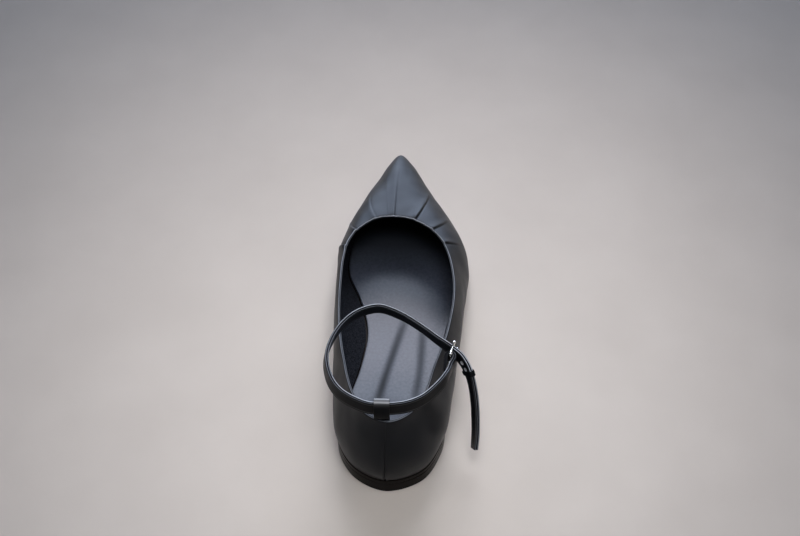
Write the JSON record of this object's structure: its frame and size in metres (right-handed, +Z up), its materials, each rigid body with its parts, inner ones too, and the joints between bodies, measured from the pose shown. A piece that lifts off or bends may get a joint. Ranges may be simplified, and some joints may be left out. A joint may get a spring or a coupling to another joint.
{
  "type": "pointed ankle-strap flat shoe",
  "caption": "Black leather pointed-toe flat for the right foot with a tucked vamp, low block heel, ankle strap held by a back loop and a small pin buckle.",
  "frame": {"origin": "middle of the heel's rest on the floor", "axes": "+Y from the heel to the toe, +X to the outer side of the right foot, +Z up"},
  "size_m": [0.0871, 0.2573, 0.0739],
  "materials": {
    "upper_leather": "smooth semi-matte black leather",
    "sock_leather": "dark grey sock leather",
    "sole": "dark brown-black sole and heel, matte",
    "strap_leather": "smooth black leather with polished edges",
    "buckle_metal": "polished silver metal"
  },
  "bodies": {
    "root": {"upper": "upper_leather", "insole": "sock_leather", "outsole": "sole", "heel": "sole", "heel_loop": "strap_leather", "ankle_strap": "strap_leather", "strap_keeper": "strap_leather", "buckle_frame": "buckle_metal", "buckle_prong": "buckle_metal"}
  },
  "joints": []
}
